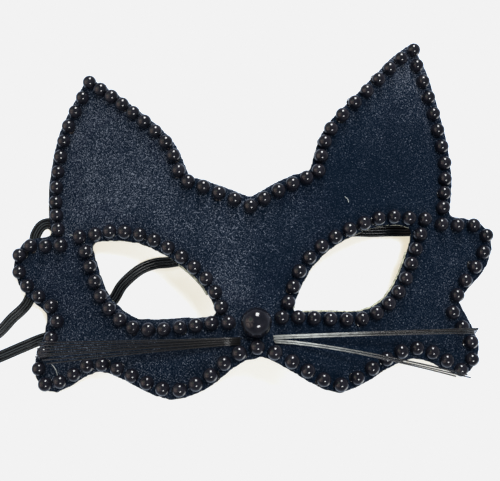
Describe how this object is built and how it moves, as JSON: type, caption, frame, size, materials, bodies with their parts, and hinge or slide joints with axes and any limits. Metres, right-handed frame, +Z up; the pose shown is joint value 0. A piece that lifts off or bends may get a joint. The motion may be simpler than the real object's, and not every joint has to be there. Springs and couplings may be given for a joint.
{
  "type": "cat half mask",
  "caption": "Arched velvet cat half mask with ears, eye holes, beaded edges, a nose bead, whiskers and a flat elastic head strap.",
  "frame": {"origin": "On the table, under the middle of the mask without its loose strap.", "axes": "+X to the right as the mask is looked at, +Y towards the ears, +Z up out of the face of the mask."},
  "size_m": [0.2483, 0.1594, 0.0522],
  "materials": {
    "velvet": "crushed black velvet over a thin stiff backing, soft sheen",
    "bead": "glossy black pearl bead",
    "whisker": "glossy black nylon filament",
    "elastic": "ribbed flat elastic, matt"
  },
  "bodies": {
    "root": {"mask_shell": "velvet", "edge_beads_right": "bead", "edge_beads_left": "bead", "eye_beads_right": "bead", "eye_beads_left": "bead", "nose_bead": "bead", "whiskers_right": "whisker", "whiskers_left": "whisker", "strap_anchor_right": "elastic", "strap_anchor_left": "elastic", "elastic_strap": "elastic"}
  },
  "joints": []
}
